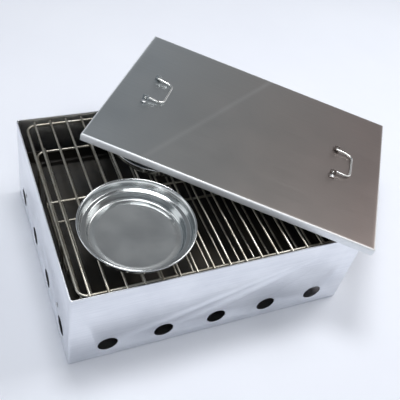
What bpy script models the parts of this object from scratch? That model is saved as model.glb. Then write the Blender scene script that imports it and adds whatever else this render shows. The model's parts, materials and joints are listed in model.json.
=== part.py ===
"""Portable two-tray stainless smoker: a vented base box, a smoke pan, a drip tray, two wire racks,
two spirit-burner dishes and a flat lid with two wire bails. Metres, +Z up.

The origin is the centre of the base's underside. +X runs along the base's long walls, +Y from the
near long wall to the far one. The lid lies askew: it rests on the base's rim at one corner and on
the burner dish that stands under it.
"""
import bpy
import bmesh
from math import cos, pi, radians, sin, tan
from mathutils import Euler, Matrix, Vector

# ---- driving dimensions -------------------------------------------------------------------------
GAP = 0.0003                # kept between pieces that touch

BASE_LENGTH = 0.400
BASE_DEPTH = 0.308
BASE_HEIGHT = 0.143
BASE_SHEET = 0.0008
BASE_BEND = 0.0030          # outer radius of the folds
HEM_HEIGHT = 0.0080         # the rim is folded back inwards
HEM_INSET = 0.0002          # the hem's fold starts this far below the rim

VENT_RADIUS = 0.0132
VENT_HEIGHT = 0.0290
VENT_PITCH = 0.0750
VENTS_LONG = 5
VENTS_SHORT = 4
VENT_SIDES = 24

LEDGE_HEIGHT = 0.0600       # top face of the rails that carry the pan
LEDGE_SHELF = 0.0120
LEDGE_WEB = 0.0150
LEDGE_SHEET = 0.0010
LEDGE_LENGTH = 0.2500
LEDGE_RIVET_SPREAD = 0.1900
LEDGE_RIVET_DROP = 0.0090   # from the shelf's top down to the rivets

PAN_SIDE_GAP = 0.0040       # between the pan and the base's hem
PAN_HEIGHT = 0.0240
PAN_SHEET = 0.0008
PAN_BEND = 0.0030

DRIP_END_GAP = 0.0200       # between the drip tray and the pan's end walls
DRIP_SIDE_GAP = 0.0180
DRIP_WALL = 0.0090
DRIP_SHEET = 0.0008
DRIP_BEND = 0.0030
SKID_HEIGHT = 0.0070
SKID_SHEET = 0.0010
SKID_INSET = 0.0060
SKID_SHORTER = 0.0300       # how much shorter a skid is than the tray is deep

FRAME_WIRE = 0.0020         # radii of the racks' wires
BAR_WIRE = 0.0015
WELD_SINK = 0.0004          # how far crossed wires sink into each other
BAR_PITCH = 0.0220
FRAME_CORNER = 0.0120
BAR_OVERHANG = 0.0040
LEG_SPREAD = 0.1300
LEG_CORNER = 0.0080
UPPER_END_GAP = 0.0015      # between the upper rack's legs and the bend at the pan's ends
UPPER_SIDE_GAP = 0.0050     # between the upper rack's frame and the base's long walls
UPPER_BELOW_RIM = 0.0030    # from the rim down to the top of the upper bars
LOWER_END_GAP = 0.0060      # between the lower rack and the upper rack's legs
LOWER_SIDE_GAP = 0.0130
LOWER_RACK_TOP = 0.1000

DISH_RIM = 0.0732           # outer radius at the rolled rim
DISH_LIP = 0.0052           # from the rim in to the wall at the step
DISH_SHELF = 0.0080         # width of the step
DISH_HEIGHT = 0.0250
DISH_STEP = 0.0120          # height of the step in the wall
DISH_DRAFT = 0.0020         # how far each wall leans out
DISH_SHEET = 0.0008
DISH_ROLL = 0.0013          # radius of the rolled rim
DISH_STEPS = 40
DISH_A_LEFT_GAP = 0.0268    # between dish A and the base's left wall
DISH_A_NEAR_GAP = 0.0028
DISH_B_FAR_GAP = 0.0148     # between dish B, which the lid rests on, and the far wall

LID_SIDE_GAP = 0.0012       # between the closed lid's flange and the base
LID_SHEET = 0.0008
LID_BEND = 0.0016
LID_FLANGE = 0.0105
LID_SHORT_OF_END = 0.0822   # from the base's right end back to the middle of the lid
LID_SHORT_OF_FAR = 0.0959
LID_ROLL = radians(-6.2)
LID_PITCH = radians(4.6)
LID_YAW = radians(-38.1)

BAIL_WIRE = 0.0016
BAIL_WIDTH = 0.0600         # between the ears
BAIL_REACH = 0.0270
BAIL_CORNER = 0.0100
BAIL_RIGHT = 0.1300         # the bails' axes, along the lid
BAIL_LEFT = -0.1560
LUG_SHEET = 0.0010
LUG_WIDTH = 0.0090
LUG_HEIGHT = 0.0085
LUG_FOOT = 0.0105
LUG_AXIS = 0.0045           # the bail's axis above the lid
LUG_HOLE_GAP = 0.0003
LUG_ROUNDING = 0.0025

RIVET_SHANK = 0.0015
RIVET_HEAD = 0.0032
RIVET_DOME = 0.0013
RIVET_TAIL = 0.0023
RIVET_TAIL_LENGTH = 0.0014
RIVET_SIDES = 12
HOLE_TOOL = 0.0060          # length of the tools that cut the small holes

# ---- sizes that follow from them ----------------------------------------------------------------
HEM_INNER = 2 * BASE_SHEET
RIM_LENGTH = BASE_LENGTH - 2 * HEM_INNER          # clear opening inside the hem
RIM_DEPTH = BASE_DEPTH - 2 * HEM_INNER
PAN_LENGTH = RIM_LENGTH - 2 * PAN_SIDE_GAP
PAN_DEPTH = RIM_DEPTH - 2 * PAN_SIDE_GAP
PAN_BOTTOM = LEDGE_HEIGHT + GAP
PAN_FLOOR = PAN_BOTTOM + PAN_SHEET
PAN_INNER_LENGTH = PAN_LENGTH - 2 * PAN_SHEET
PAN_INNER_DEPTH = PAN_DEPTH - 2 * PAN_SHEET
DRIP_LENGTH = PAN_INNER_LENGTH - 2 * DRIP_END_GAP
DRIP_DEPTH = PAN_INNER_DEPTH - 2 * DRIP_SIDE_GAP
DRIP_BOTTOM = PAN_FLOOR + GAP + SKID_HEIGHT
FOOT_LEVEL = PAN_FLOOR + GAP + FRAME_WIRE         # middle of the wire the racks stand on
UPPER_HALF_LENGTH = PAN_LENGTH / 2 - PAN_BEND - UPPER_END_GAP - FRAME_WIRE
UPPER_HALF_DEPTH = BASE_DEPTH / 2 - BASE_SHEET - UPPER_SIDE_GAP - FRAME_WIRE
UPPER_RACK_TOP = BASE_HEIGHT - UPPER_BELOW_RIM
LOWER_HALF_LENGTH = UPPER_HALF_LENGTH - 2 * FRAME_WIRE - LOWER_END_GAP
LOWER_HALF_DEPTH = UPPER_HALF_DEPTH - LOWER_SIDE_GAP
DISH_BOTTOM = UPPER_RACK_TOP + GAP
DISH_LEDGE = DISH_RIM - DISH_LIP
DISH_FLOOR = DISH_LEDGE - DISH_SHELF
DISH_A_PLACE = (DISH_RIM + DISH_A_LEFT_GAP - BASE_LENGTH / 2, DISH_RIM + DISH_A_NEAR_GAP - BASE_DEPTH / 2)
DISH_B_ACROSS = BASE_DEPTH / 2 - DISH_RIM - DISH_B_FAR_GAP
LID_PLACE = (BASE_LENGTH / 2 - LID_SHORT_OF_END, BASE_DEPTH / 2 - LID_SHORT_OF_FAR)
LID_LENGTH = BASE_LENGTH + 2 * (LID_SIDE_GAP + LID_SHEET)
LID_DEPTH = BASE_DEPTH + 2 * (LID_SIDE_GAP + LID_SHEET)
RIVET_HOLE = RIVET_SHANK + GAP
BAIL_DROOP = (LUG_AXIS - BAIL_WIRE - GAP) / (BAIL_REACH - BAIL_WIRE)

for leftover in list(bpy.data.objects):
    bpy.data.objects.remove(leftover, do_unlink=True)

model = bpy.data.collections.new("portable_smoker")
tools = bpy.data.collections.new("cutters")
bpy.context.scene.collection.children.link(model)
bpy.context.scene.collection.children.link(tools)


# ---- materials ----------------------------------------------------------------------------------
def make_material(name, colour, roughness, metallic):
    material = bpy.data.materials.new(name)
    material.use_nodes = True
    shader = material.node_tree.nodes["Principled BSDF"]
    shader.inputs["Base Color"].default_value = (*colour, 1.0)
    shader.inputs["Roughness"].default_value = roughness
    shader.inputs["Metallic"].default_value = metallic
    return material


base_steel = make_material("base_steel", (0.72, 0.73, 0.76), 0.32, 1.0)
lid_steel = make_material("lid_steel", (0.42, 0.42, 0.42), 0.36, 1.0)
dark_steel = make_material("dark_steel", (0.03, 0.03, 0.028), 0.55, 0.3)
rack_wire = make_material("rack_wire", (0.45, 0.44, 0.40), 0.30, 1.0)
dish_steel = make_material("dish_steel", (0.62, 0.63, 0.62), 0.22, 1.0)
bail_wire = make_material("bail_wire", (0.70, 0.70, 0.70), 0.20, 1.0)
rivet_metal = make_material("rivet_metal", (0.66, 0.66, 0.67), 0.30, 1.0)


# ---- helpers ------------------------------------------------------------------------------------
def into(collection, piece, parent=None):
    """Links the piece to one collection only, under its parent."""
    for old in list(piece.users_collection):
        old.objects.unlink(piece)
    collection.objects.link(piece)
    piece.parent = parent
    return piece


def finish(piece, name, material, parent=None):
    """Names a sub-part, gives it its material and puts it in the model."""
    piece.name = name
    piece.data.name = name
    piece.data.materials.clear()
    piece.data.materials.append(material)
    return into(model, piece, parent)


def as_tool(piece, name, parent=None):
    """Keeps a piece only as the operand of a Boolean."""
    piece.name = name
    piece.hide_render = True
    piece.display_type = 'WIRE'
    return into(tools, piece, parent)


def combine(target, operand, operation):
    modifier = target.modifiers.new(operand.name, 'BOOLEAN')
    modifier.object = operand
    modifier.operation = operation
    modifier.solver = 'EXACT'


def open_box(length, depth, height, bend, closed_bottom=True):
    """A box's outer skin with no top, standing on z = 0, its edges folded to the bend radius."""
    bpy.ops.mesh.primitive_cube_add(size=1)
    box = bpy.context.object
    size = Matrix.Diagonal((length, depth, height, 1))
    box.data.transform(Matrix.Translation((0, 0, height / 2)) @ size)
    skin = bmesh.new()
    skin.from_mesh(box.data)
    skin.normal_update()
    gone = [face for face in skin.faces if face.normal.z > 0.5]
    if not closed_bottom:
        gone += [face for face in skin.faces if face.normal.z < -0.5]
    bmesh.ops.delete(skin, geom=gone, context='FACES')
    folds = [edge for edge in skin.edges if not edge.is_boundary]
    bmesh.ops.bevel(skin, geom=folds, offset=bend, segments=3, profile=0.5, affect='EDGES')
    skin.to_mesh(box.data)
    skin.free()
    return box


def fold_sheet(box, sheet):
    """Gives an outer skin the thickness of its sheet, inwards."""
    wall = box.modifiers.new("sheet", 'SOLIDIFY')
    wall.thickness = sheet
    wall.offset = -1
    wall.use_even_offset = True


def block(length, depth, height, middle):
    bpy.ops.mesh.primitive_cube_add(size=1, location=middle)
    piece = bpy.context.object
    piece.data.transform(Matrix.Diagonal((length, depth, height, 1)))
    return piece


def rod(radius, length, middle, axis, sides):
    """A round bar whose axis is 'X', 'Y' or 'Z'."""
    turn = {'X': (0, pi / 2, 0), 'Y': (pi / 2, 0, 0), 'Z': (0, 0, 0)}[axis]
    bpy.ops.mesh.primitive_cylinder_add(vertices=sides, radius=radius, depth=length,
                                        location=middle, rotation=turn)
    return bpy.context.object


def rounded(corners, radius, closed, steps=5):
    """The corners of a wire's route, with each bend drawn as an arc of the radius."""
    count = len(corners)
    points = []
    for index, corner in enumerate(corners):
        corner = Vector(corner)
        if not closed and index in (0, count - 1):
            points.append(corner)
            continue
        back = (Vector(corners[index - 1]) - corner).normalized()
        ahead = (Vector(corners[(index + 1) % count]) - corner).normalized()
        half = back.angle(ahead) / 2
        middle = corner + (back + ahead).normalized() * radius / sin(half)
        start = (corner + back * radius / tan(half) - middle).normalized()
        end = (corner + ahead * radius / tan(half) - middle).normalized()
        points += [middle + radius * start.slerp(end, step / steps) for step in range(steps + 1)]
    return points


def wire(points, radius, closed=False):
    """A round wire along the points, with its ends capped."""
    curve = bpy.data.curves.new("wire", 'CURVE')
    curve.dimensions = '3D'
    curve.bevel_depth = radius
    curve.bevel_resolution = 2
    curve.use_fill_caps = True
    spline = curve.splines.new('POLY')
    spline.points.add(len(points) - 1)
    for place, point in zip(spline.points, points):
        place.co = (*point, 1)
    spline.use_cyclic_u = closed
    piece = bpy.data.objects.new("wire", curve)
    bpy.context.scene.collection.objects.link(piece)
    return piece


def wire_mesh(curve_piece):
    """The wire as a mesh with welded caps, so that a Boolean can use it."""
    bpy.context.view_layer.update()
    seen = curve_piece.evaluated_get(bpy.context.evaluated_depsgraph_get())
    mesh = bpy.data.meshes.new_from_object(seen)
    welded = bmesh.new()
    welded.from_mesh(mesh)
    bmesh.ops.remove_doubles(welded, verts=welded.verts, dist=0.000001)
    welded.to_mesh(mesh)
    welded.free()
    piece = bpy.data.objects.new("wire", mesh)
    piece.matrix_world = curve_piece.matrix_world
    bpy.context.scene.collection.objects.link(piece)
    bpy.data.objects.remove(curve_piece, do_unlink=True)
    return piece


def turned(profile, steps):
    """A turned solid: the profile at +X runs from the axis at the top to the axis at the bottom."""
    mesh = bpy.data.meshes.new("turned")
    outline = bmesh.new()
    verts = [outline.verts.new((radius, 0, height)) for radius, height in profile]
    for first, second in zip(verts, verts[1:]):
        outline.edges.new((first, second))
    outline.to_mesh(mesh)
    outline.free()
    piece = bpy.data.objects.new("turned", mesh)
    bpy.context.scene.collection.objects.link(piece)
    screw = piece.modifiers.new("turn", 'SCREW')
    screw.steps = steps
    screw.render_steps = steps
    screw.use_merge_vertices = True
    screw.merge_threshold = 0.00001
    screw.use_smooth_shade = True
    return piece


def spaced(count, pitch):
    """Places at the pitch, centred on 0."""
    return [(index - (count - 1) / 2) * pitch for index in range(count)]


def make_rivet(name, grip, place, turn, parent=None):
    """A blind rivet: its head's seat is at z = 0, its shank runs down through the grip."""
    seat = GAP
    tail = -(grip + GAP)
    profile = [(0, seat + RIVET_DOME)]
    for part in (1, 2, 3):
        angle = part / 3 * pi / 2
        profile.append((RIVET_HEAD * sin(angle), seat + RIVET_DOME * (0.25 + 0.75 * cos(angle))))
    profile += [(RIVET_HEAD, seat), (RIVET_SHANK, seat), (RIVET_SHANK, tail), (RIVET_TAIL, tail),
                (RIVET_TAIL, tail - RIVET_TAIL_LENGTH * 0.6), (RIVET_SHANK, tail - RIVET_TAIL_LENGTH),
                (0, tail - RIVET_TAIL_LENGTH)]
    rivet = finish(turned(profile, RIVET_SIDES), name, rivet_metal, parent)
    rivet.location = place
    rivet.rotation_euler = turn
    return rivet


# ---- base ---------------------------------------------------------------------------------------
def make_base():
    """The folded box: floor, four walls, hemmed rim and the air holes near its foot."""
    base = open_box(BASE_LENGTH, BASE_DEPTH, BASE_HEIGHT, BASE_BEND)
    fold_sheet(base, BASE_SHEET)
    buried = BASE_SHEET / 2
    hem = open_box(BASE_LENGTH - 2 * buried, BASE_DEPTH - 2 * buried, HEM_HEIGHT,
                   BASE_BEND - buried, closed_bottom=False)
    fold_sheet(hem, HEM_INNER - buried)
    hem.location.z = BASE_HEIGHT - HEM_INSET - HEM_HEIGHT
    combine(base, as_tool(hem, "hem"), 'UNION')
    for number, x in enumerate(spaced(VENTS_LONG, VENT_PITCH)):
        vent = rod(VENT_RADIUS, BASE_DEPTH + 4 * BASE_BEND, (x, 0, VENT_HEIGHT), 'Y', VENT_SIDES)
        combine(base, as_tool(vent, "long_vent_%d" % number), 'DIFFERENCE')
    for number, y in enumerate(spaced(VENTS_SHORT, VENT_PITCH)):
        vent = rod(VENT_RADIUS, BASE_LENGTH + 4 * BASE_BEND, (0, y, VENT_HEIGHT), 'X', VENT_SIDES)
        combine(base, as_tool(vent, "short_vent_%d" % number), 'DIFFERENCE')
    for number, y in enumerate(spaced(2, LEDGE_RIVET_SPREAD)):
        place = (0, y, LEDGE_HEIGHT - LEDGE_RIVET_DROP)
        hole = rod(RIVET_HOLE, BASE_LENGTH + 4 * BASE_BEND, place, 'X', RIVET_SIDES)
        combine(base, as_tool(hole, "wall_rivet_hole_%d" % number), 'DIFFERENCE')
    finish(base, "base_shell", base_steel)


def make_ledge(side, name):
    """An angle rail on a short wall's inner face, with the rivets that hold it."""
    web_face = BASE_LENGTH / 2 - BASE_SHEET - GAP
    bpy.ops.mesh.primitive_plane_add(size=1)
    rail = bpy.context.object
    rail.data.transform(Matrix.Diagonal((LEDGE_SHELF, LEDGE_LENGTH, 1, 1)))
    strip = bmesh.new()
    strip.from_mesh(rail.data)
    outer = [edge for edge in strip.edges if all(vert.co.x > 0 for vert in edge.verts)]
    grown = bmesh.ops.extrude_edge_only(strip, edges=outer)["geom"]
    lower = [item for item in grown if isinstance(item, bmesh.types.BMVert)]
    bmesh.ops.translate(strip, verts=lower, vec=(0, 0, -LEDGE_WEB))
    bmesh.ops.recalc_face_normals(strip, faces=strip.faces)
    strip.to_mesh(rail.data)
    strip.free()
    fold_sheet(rail, LEDGE_SHEET)
    if rail.data.polygons[0].normal.z < 0:
        rail.modifiers["sheet"].offset = 1
    turn = 0 if side > 0 else pi
    rail.location = (side * (web_face - LEDGE_SHELF / 2), 0, LEDGE_HEIGHT)
    rail.rotation_euler = (0, 0, turn)
    for number, y in enumerate(spaced(2, LEDGE_RIVET_SPREAD)):
        place = (side * web_face, y, LEDGE_HEIGHT - LEDGE_RIVET_DROP)
        hole = rod(RIVET_HOLE, HOLE_TOOL, place, 'X', RIVET_SIDES)
        combine(rail, as_tool(hole, "%s_hole_%d" % (name, number)), 'DIFFERENCE')
        make_rivet("%s_rivet_%s" % (name, "near" if y < 0 else "far"), BASE_SHEET + GAP + LEDGE_SHEET,
                   (side * BASE_LENGTH / 2, y, place[2]), (0, side * pi / 2, 0))
    finish(rail, name, base_steel)


# ---- what stands inside -------------------------------------------------------------------------
def make_pan():
    pan = open_box(PAN_LENGTH, PAN_DEPTH, PAN_HEIGHT, PAN_BEND)
    fold_sheet(pan, PAN_SHEET)
    pan.location.z = PAN_BOTTOM
    finish(pan, "smoke_pan", dark_steel)


def make_drip_tray():
    """A shallow tray on two folded skids, which keep it off the sawdust in the pan."""
    tray = open_box(DRIP_LENGTH, DRIP_DEPTH, DRIP_WALL, DRIP_BEND)
    fold_sheet(tray, DRIP_SHEET)
    tray.location.z = DRIP_BOTTOM
    sunk = DRIP_SHEET / 2
    for side in (-1, 1):
        x = side * (DRIP_LENGTH / 2 - DRIP_BEND - SKID_INSET)
        height = SKID_HEIGHT + sunk
        middle = (x, 0, DRIP_BOTTOM + sunk - height / 2)
        skid = block(SKID_SHEET, DRIP_DEPTH - SKID_SHORTER, height, middle)
        combine(tray, as_tool(skid, "skid_right" if side > 0 else "skid_left"), 'UNION')
    finish(tray, "drip_tray", dark_steel)


def make_rack(level, top, half_length, half_depth):
    """A wire rack: a frame, a rod across its middle, bars over them and a wire leg at each end."""
    bar_level = top - BAR_WIRE
    frame_level = bar_level - BAR_WIRE - FRAME_WIRE + WELD_SINK
    corners = [(x * half_length, y * half_depth, 0) for x, y in ((-1, -1), (1, -1), (1, 1), (-1, 1))]
    frame = wire_mesh(wire(rounded(corners, FRAME_CORNER, True), FRAME_WIRE, True))
    frame.location.z = frame_level
    middle = rod(FRAME_WIRE * 0.9, 2 * half_length, (0, 0, frame_level), 'X', 8)
    combine(frame, as_tool(middle, level + "_cross_rod"), 'UNION')
    comb = bmesh.new()
    straight = 2 * (half_length - FRAME_CORNER + BAR_WIRE)      # the bars keep off the rounded corners
    for x in spaced(int(straight / BAR_PITCH) + 1, BAR_PITCH):
        along = Matrix.Translation((x, 0, bar_level)) @ Matrix.Rotation(pi / 2, 4, 'X')
        bmesh.ops.create_cone(comb, cap_ends=True, segments=8, radius1=BAR_WIRE, radius2=BAR_WIRE,
                              depth=2 * (half_depth + BAR_OVERHANG), matrix=along)
    mesh = bpy.data.meshes.new(level + "_bars")
    comb.to_mesh(mesh)
    comb.free()
    comb_piece = bpy.data.objects.new(level + "_bars", mesh)
    combine(frame, as_tool(comb_piece, level + "_bars"), 'UNION')
    finish(frame, level + "_rack", rack_wire)
    leg_top = frame_level - FRAME_WIRE - GAP
    spread = LEG_SPREAD / 2
    route = [(0, -spread, leg_top), (0, -spread, FOOT_LEVEL),
             (0, spread, FOOT_LEVEL), (0, spread, leg_top)]
    for side, name in ((-1, "left"), (1, "right")):
        leg = finish(wire(rounded(route, LEG_CORNER, False), FRAME_WIRE),
                     "%s_rack_leg_%s" % (level, name), rack_wire)
        leg.location.x = side * half_length


def dish_profile():
    """Half of a stepped, round-rimmed dish, from the middle of its floor over the rim to its foot."""
    wall = DISH_SHEET
    ledge = DISH_STEP
    lean = DISH_DRAFT
    inside = [(0, wall), (DISH_FLOOR - 2.5 * wall, wall), (DISH_FLOOR - wall * 0.6, wall * 2.6),
              (DISH_FLOOR + lean - wall, ledge), (DISH_LEDGE - 2 * wall, ledge + wall * 0.4),
              (DISH_LEDGE - wall, ledge + wall * 1.8),
              (DISH_LEDGE + lean - wall, DISH_HEIGHT - DISH_ROLL * 2)]
    middle = (DISH_RIM - DISH_ROLL, DISH_HEIGHT - DISH_ROLL)
    roll = [(middle[0] + DISH_ROLL * cos(angle), middle[1] + DISH_ROLL * sin(angle))
            for angle in (radians(turn) for turn in (150, 105, 60, 15, -30, -90))]
    outside = [(DISH_LEDGE + lean, DISH_HEIGHT - DISH_ROLL * 2.2), (DISH_LEDGE, ledge),
               (DISH_LEDGE - wall * 1.5, ledge - wall * 0.8), (DISH_FLOOR + lean, ledge - wall),
               (DISH_FLOOR, wall * 2), (DISH_FLOOR - wall * 2, 0), (0, 0)]
    return inside + roll + outside


def make_dish(name, place):
    dish = finish(turned(dish_profile(), DISH_STEPS), name, dish_steel)
    dish.location = (place[0], place[1], DISH_BOTTOM)


# ---- lid ----------------------------------------------------------------------------------------
LID_TURN = Euler((LID_ROLL, LID_PITCH, LID_YAW), 'XYZ').to_matrix()
LID_UP = LID_TURN.col[2]
LID_FALL = Vector((LID_UP.x, LID_UP.y)) / LID_UP.z        # drop in height for each metre along x and y
UNDER_LID = (LID_SHEET + GAP) / LID_UP.z                  # from the lid's top down to what it rests on


def lid_height():
    """Height of the lid's middle when it rests on the rim's far right corner."""
    corner = Vector((BASE_LENGTH / 2, BASE_DEPTH / 2))
    return BASE_HEIGHT + UNDER_LID + LID_FALL.dot(corner - Vector(LID_PLACE))


def dish_b_place():
    """Where the second dish's rim just reaches the lid's underside."""
    downhill = LID_FALL.normalized() * (DISH_RIM - DISH_ROLL)
    rise = DISH_BOTTOM + DISH_HEIGHT + UNDER_LID - lid_height()
    y = DISH_B_ACROSS
    across = LID_FALL.y * (LID_PLACE[1] - y - downhill.y)
    x = LID_PLACE[0] - downhill.x - (rise - across) / LID_FALL.x
    return (x, y)


def make_lug(name, x, side, frame):
    """An ear that a bail turns in: a foot riveted to the lid, with the ear bent up from it."""
    inner = side * BAIL_WIDTH / 2
    bpy.ops.mesh.primitive_plane_add(size=1)
    lug = bpy.context.object
    size = Matrix.Diagonal((LUG_WIDTH, LUG_FOOT, 1, 1))
    lug.data.transform(Matrix.Translation((0, LUG_FOOT / 2, 0)) @ size)
    strip = bmesh.new()
    strip.from_mesh(lug.data)
    bend = [edge for edge in strip.edges if all(abs(vert.co.y) < GAP for vert in edge.verts)]
    grown = bmesh.ops.extrude_edge_only(strip, edges=bend)["geom"]
    upper = [item for item in grown if isinstance(item, bmesh.types.BMVert)]
    bmesh.ops.translate(strip, verts=upper, vec=(0, 0, LUG_HEIGHT))
    tips = [vert for vert in strip.verts if vert.is_boundary and vert not in bend[0].verts]
    bmesh.ops.bevel(strip, geom=tips, offset=LUG_ROUNDING, segments=3, profile=0.5, affect='VERTICES')
    bmesh.ops.recalc_face_normals(strip, faces=strip.faces)
    foot = max(strip.faces, key=lambda face: face.calc_center_median().y)
    if foot.normal.z < 0:
        bmesh.ops.reverse_faces(strip, faces=strip.faces)
    strip.to_mesh(lug.data)
    strip.free()
    sheet = lug.modifiers.new("sheet", 'SOLIDIFY')
    sheet.thickness = LUG_SHEET
    sheet.offset = 1
    sheet.use_even_offset = True
    lug.location = (x, inner, GAP)
    lug.rotation_euler = (0, 0, 0 if side > 0 else pi)
    finish(lug, name, lid_steel, frame)
    eye = rod(BAIL_WIRE + LUG_HOLE_GAP, HOLE_TOOL, (x, inner, LUG_AXIS), 'Y', RIVET_SIDES)
    combine(lug, as_tool(eye, name + "_eye", frame), 'DIFFERENCE')
    rivet_y = inner + side * (LUG_FOOT + LUG_SHEET) * 0.6
    hole = rod(RIVET_HOLE, HOLE_TOOL, (x, rivet_y, 0), 'Z', RIVET_SIDES)
    combine(lug, as_tool(hole, name + "_rivet_hole", frame), 'DIFFERENCE')
    make_rivet(name + "_rivet", LUG_SHEET + GAP + LID_SHEET, (x, rivet_y, GAP + LUG_SHEET), (0, 0, 0), frame)
    return hole


def make_bail(name, x, frame):
    """The wire loop: it hooks out through both ears and lies down with its end on the lid."""
    leg = BAIL_WIDTH / 2 - LUG_SHEET - BAIL_WIRE
    end = BAIL_WIDTH / 2 + LUG_SHEET + BAIL_WIRE
    route = [(0, -end, 0), (0, -leg, 0), (BAIL_REACH - BAIL_WIRE, -leg, 0),
             (BAIL_REACH - BAIL_WIRE, leg, 0), (0, leg, 0), (0, end, 0)]
    hooks = rounded(route[:3], BAIL_WIRE * 1.2, False, 4)[:-1]
    loop = rounded(route[1:5], BAIL_CORNER, False, 6)[1:-1]
    mirrored = [Vector((point.x, -point.y, point.z)) for point in reversed(hooks)]
    bail = finish(wire(hooks + loop + mirrored, BAIL_WIRE), name, bail_wire, frame)
    bail.location = (x, 0, LUG_AXIS)
    bail.rotation_euler = (0, BAIL_DROOP, 0)


def make_lid():
    """The flat lid with its turned-down flange, its four ears and its two bails."""
    frame = bpy.data.objects.new("lid_frame", None)
    model.objects.link(frame)
    frame.location = (LID_PLACE[0], LID_PLACE[1], lid_height())
    frame.rotation_euler = (LID_ROLL, LID_PITCH, LID_YAW)
    lid = open_box(LID_LENGTH, LID_DEPTH, LID_FLANGE, LID_BEND)
    lid.data.transform(Matrix.Rotation(pi, 4, 'X'))
    fold_sheet(lid, LID_SHEET)
    finish(lid, "lid_panel", lid_steel, frame)
    for bail_name, x in (("left", BAIL_LEFT), ("right", BAIL_RIGHT)):
        for side, place in ((-1, "near"), (1, "far")):
            hole = make_lug("%s_lug_%s" % (bail_name, place), x, side, frame)
            combine(lid, hole, 'DIFFERENCE')
        make_bail(bail_name + "_bail", x, frame)


make_base()
make_ledge(-1, "ledge_left")
make_ledge(1, "ledge_right")
make_pan()
make_drip_tray()
make_rack("lower", LOWER_RACK_TOP, LOWER_HALF_LENGTH, LOWER_HALF_DEPTH)
make_rack("upper", UPPER_RACK_TOP, UPPER_HALF_LENGTH, UPPER_HALF_DEPTH)
make_dish("burner_dish_a", DISH_A_PLACE)
make_dish("burner_dish_b", dish_b_place())
make_lid()
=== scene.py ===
import json
from math import cos, pi, radians, sin

import bmesh
import bpy
from mathutils import Matrix, Vector


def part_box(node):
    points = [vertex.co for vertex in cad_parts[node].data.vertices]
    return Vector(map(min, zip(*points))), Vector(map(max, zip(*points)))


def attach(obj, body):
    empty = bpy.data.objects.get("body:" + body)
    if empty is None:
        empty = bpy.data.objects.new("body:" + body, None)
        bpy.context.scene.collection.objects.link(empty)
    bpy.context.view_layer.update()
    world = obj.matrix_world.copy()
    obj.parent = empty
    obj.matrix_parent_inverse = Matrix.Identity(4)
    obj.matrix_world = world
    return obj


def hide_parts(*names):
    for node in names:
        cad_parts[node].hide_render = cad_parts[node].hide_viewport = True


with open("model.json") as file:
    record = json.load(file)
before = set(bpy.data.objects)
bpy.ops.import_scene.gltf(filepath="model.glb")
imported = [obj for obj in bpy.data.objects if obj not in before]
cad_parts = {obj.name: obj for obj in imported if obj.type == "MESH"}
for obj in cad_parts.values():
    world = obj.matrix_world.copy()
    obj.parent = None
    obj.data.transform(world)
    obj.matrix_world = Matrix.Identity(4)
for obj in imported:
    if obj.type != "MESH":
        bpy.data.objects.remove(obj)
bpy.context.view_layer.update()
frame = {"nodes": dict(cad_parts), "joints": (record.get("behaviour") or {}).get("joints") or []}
joints = {joint["name"]: joint for joint in frame["joints"]}
scene = bpy.context.scene
tiny = 0.0001            # two points nearer than this, in metres, count as one when faces are picked


# small helpers for working on one piece at a time

def deselectAll():
    if bpy.context.object and bpy.context.object.mode != 'OBJECT':
        bpy.ops.object.mode_set(mode='OBJECT')
    for item in bpy.context.selected_objects:
        item.select_set(False)


def workOn(piece):
    deselectAll()
    piece.select_set(True)
    bpy.context.view_layer.objects.active = piece


def startPiece(name):
    # the primitive just added becomes the piece, with its place and size in its mesh
    piece = bpy.context.object
    piece.name = name
    piece.data.name = name
    bpy.ops.object.transform_apply(location=True, rotation=True, scale=True)
    return piece


def edit(piece, kind='VERT'):
    workOn(piece)
    bpy.ops.object.mode_set(mode='EDIT')
    bpy.ops.mesh.select_mode(type=kind)
    bpy.ops.mesh.select_all(action='DESELECT')


def pick(piece, test):
    # selects the verts, edges or faces that pass the test, in the current select mode
    mesh = bmesh.from_edit_mesh(piece.data)
    kind = bpy.context.tool_settings.mesh_select_mode
    parts = mesh.verts if kind[0] else mesh.edges if kind[1] else mesh.faces
    bpy.ops.mesh.select_all(action='DESELECT')
    for part in parts:
        if test(part):
            part.select_set(True)
    bmesh.update_edit_mesh(piece.data)


def leaveEdit():
    bpy.ops.object.mode_set(mode='OBJECT')


def applyModifier(piece, kind, **settings):
    workOn(piece)
    made = piece.modifiers.new(kind.lower(), kind)
    for key, value in settings.items():
        setattr(made, key, value)
    bpy.ops.object.modifier_apply(modifier=made.name)


def cutWith(piece, cutter):
    applyModifier(piece, 'BOOLEAN', object=cutter, operation='DIFFERENCE', solver='EXACT')
    bpy.data.objects.remove(cutter, do_unlink=True)


def drill(piece, radius, depth, place, turn=(0, 0, 0), sides=32):
    deselectAll()
    bpy.ops.mesh.primitive_cylinder_add(vertices=sides, radius=radius, depth=depth, location=place,
                                        rotation=turn)
    cutWith(piece, bpy.context.object)


def turnOver(piece):
    # turns every face of a piece that was mirrored or made inside out
    edit(piece, 'FACE')
    bpy.ops.mesh.select_all(action='SELECT')
    bpy.ops.mesh.flip_normals()
    leaveEdit()


def copyOf(piece, name, place=Matrix()):
    twin = piece.copy()
    twin.data = piece.data.copy()
    twin.name = name
    twin.data.name = name
    twin.data.transform(place)
    scene.collection.objects.link(twin)
    return twin


def joined(pieces, name):
    deselectAll()
    for piece in pieces:
        piece.select_set(True)
    bpy.context.view_layer.objects.active = pieces[0]
    bpy.ops.object.join()
    pieces[0].name = name
    pieces[0].data.name = name
    return pieces[0]


def smooth(piece, angle=35):
    workOn(piece)
    bpy.ops.object.shade_smooth_by_angle(angle=radians(angle))


def settle(piece, body, material, slot, *nodes):
    # the finished piece gets its material, rides on its body and stands for its CAD nodes
    piece.data.materials.clear()
    piece.data.materials.append(material)
    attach(piece, body)
    if nodes:
        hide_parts(*nodes)


def corners(node):
    low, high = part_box(node)
    return Vector(low), Vector(high)


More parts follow.
